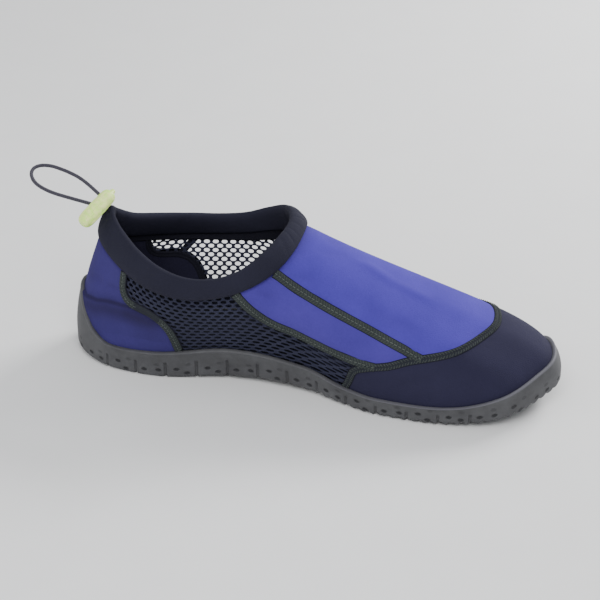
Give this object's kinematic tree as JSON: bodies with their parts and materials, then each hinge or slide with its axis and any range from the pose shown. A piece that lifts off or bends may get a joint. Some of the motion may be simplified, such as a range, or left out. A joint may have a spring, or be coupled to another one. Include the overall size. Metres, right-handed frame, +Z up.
{
  "type": "water shoe",
  "caption": "Slip-on water shoe with a hollow sewn upper, open collar with an elastic draw cord and cord lock, and a moulded rubber cup sole.",
  "frame": {"origin": "middle of the shoe's box on the floor plane, without the cord and its lock", "axes": "+X to the toe, +Y to the outer side of the left foot, +Z up"},
  "size_m": [0.3035, 0.0998, 0.1054],
  "materials": {
    "sole_rubber": "moulded, matte",
    "insole_foam": "brushed knit on foam",
    "upper_cloth": "stretch knit on foam, matte",
    "collar_cloth": "stretch knit, matte",
    "seam_thread": "cover stitch",
    "cord_braid": "braided",
    "lock_plastic": "moulded, satin"
  },
  "bodies": {
    "root": {"outsole": "sole_rubber", "insole": "insole_foam", "upper": "upper_cloth", "collar_binding": "collar_cloth", "elastic_cord": "cord_braid", "cord_lock": "lock_plastic", "seam_vamp_inner": "seam_thread", "seam_vamp_outer": "seam_thread", "seam_quarter_inner": "seam_thread", "seam_quarter_outer": "seam_thread", "seam_heel_inner": "seam_thread", "seam_heel_outer": "seam_thread", "seam_toe_cap": "seam_thread"}
  },
  "joints": []
}
